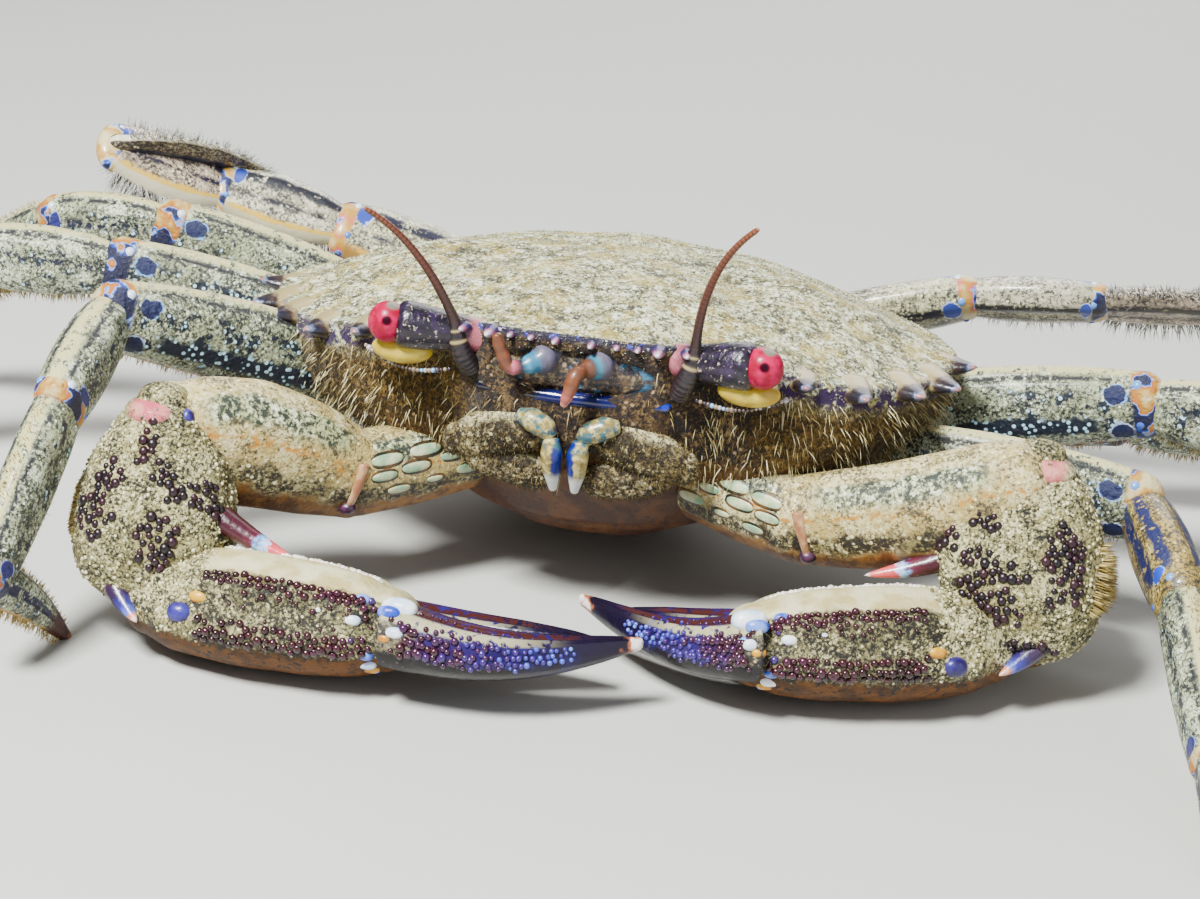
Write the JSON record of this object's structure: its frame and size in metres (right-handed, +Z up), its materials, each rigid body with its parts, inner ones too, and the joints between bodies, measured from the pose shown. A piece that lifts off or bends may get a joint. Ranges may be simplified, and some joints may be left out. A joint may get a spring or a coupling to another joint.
{
  "type": "velvet crab",
  "caption": "Life-size still model of a velvet crab crouching on its feet and closed claws, for a display or a shore scene.",
  "frame": {"origin": "on the floor under the middle of the whole crab's box", "axes": "+Z up, the crab faces -Y, its own left side is +X"},
  "size_m": [0.2035, 0.0962, 0.0487],
  "materials": {
    "shell": "velvety shell, sandy olive with fine dark and pale specks",
    "belly": "smooth orange-brown underside",
    "mouthparts": "sandy plates with blue and yellow inner corners",
    "eyestalk": "glossy purple-black with white speckles",
    "cornea": "glossy crimson",
    "feelers": "orange-brown, ringed",
    "legs": "cream and olive with blue-black bands and dots",
    "claws": "sandy shell with raised glossy maroon granules",
    "fingers": "violet-blue granules that turn purple-black at the tips"
  },
  "bodies": {
    "root": {"abdomen": "belly", "antenna_l": "feelers", "antenna_r": "feelers", "antennule_l": "feelers", "antennule_r": "feelers", "carapace": "shell", "carpus_2_l": "legs", "carpus_2_r": "legs", "carpus_3_l": "legs", "carpus_3_r": "legs", "carpus_4_l": "legs", "carpus_4_r": "legs", "carpus_5_l": "legs", "carpus_5_r": "legs", "claw_base_l": "claws", "claw_base_r": "claws", "claw_carpus_l": "claws", "claw_carpus_r": "claws", "claw_dactyl_l": "fingers", "claw_dactyl_r": "fingers", "claw_merus_l": "claws", "claw_merus_r": "claws", "claw_palm_l": "claws", "claw_palm_r": "claws", "cornea_l": "cornea", "cornea_r": "cornea", "dactyl_2_l": "legs", "dactyl_2_r": "legs", "dactyl_3_l": "legs", "dactyl_3_r": "legs", "dactyl_4_l": "legs", "dactyl_4_r": "legs", "dactyl_5_l": "legs", "dactyl_5_r": "legs", "eyestalk_l": "eyestalk", "eyestalk_r": "eyestalk", "maxilliped_l": "mouthparts", "maxilliped_r": "mouthparts", "merus_2_l": "legs", "merus_2_r": "legs", "merus_3_l": "legs", "merus_3_r": "legs", "merus_4_l": "legs", "merus_4_r": "legs", "merus_5_l": "legs", "merus_5_r": "legs", "propodus_2_l": "legs", "propodus_2_r": "legs", "propodus_3_l": "legs", "propodus_3_r": "legs", "propodus_4_l": "legs", "propodus_4_r": "legs", "propodus_5_l": "legs", "propodus_5_r": "legs", "thorax": "belly"}
  },
  "joints": []
}
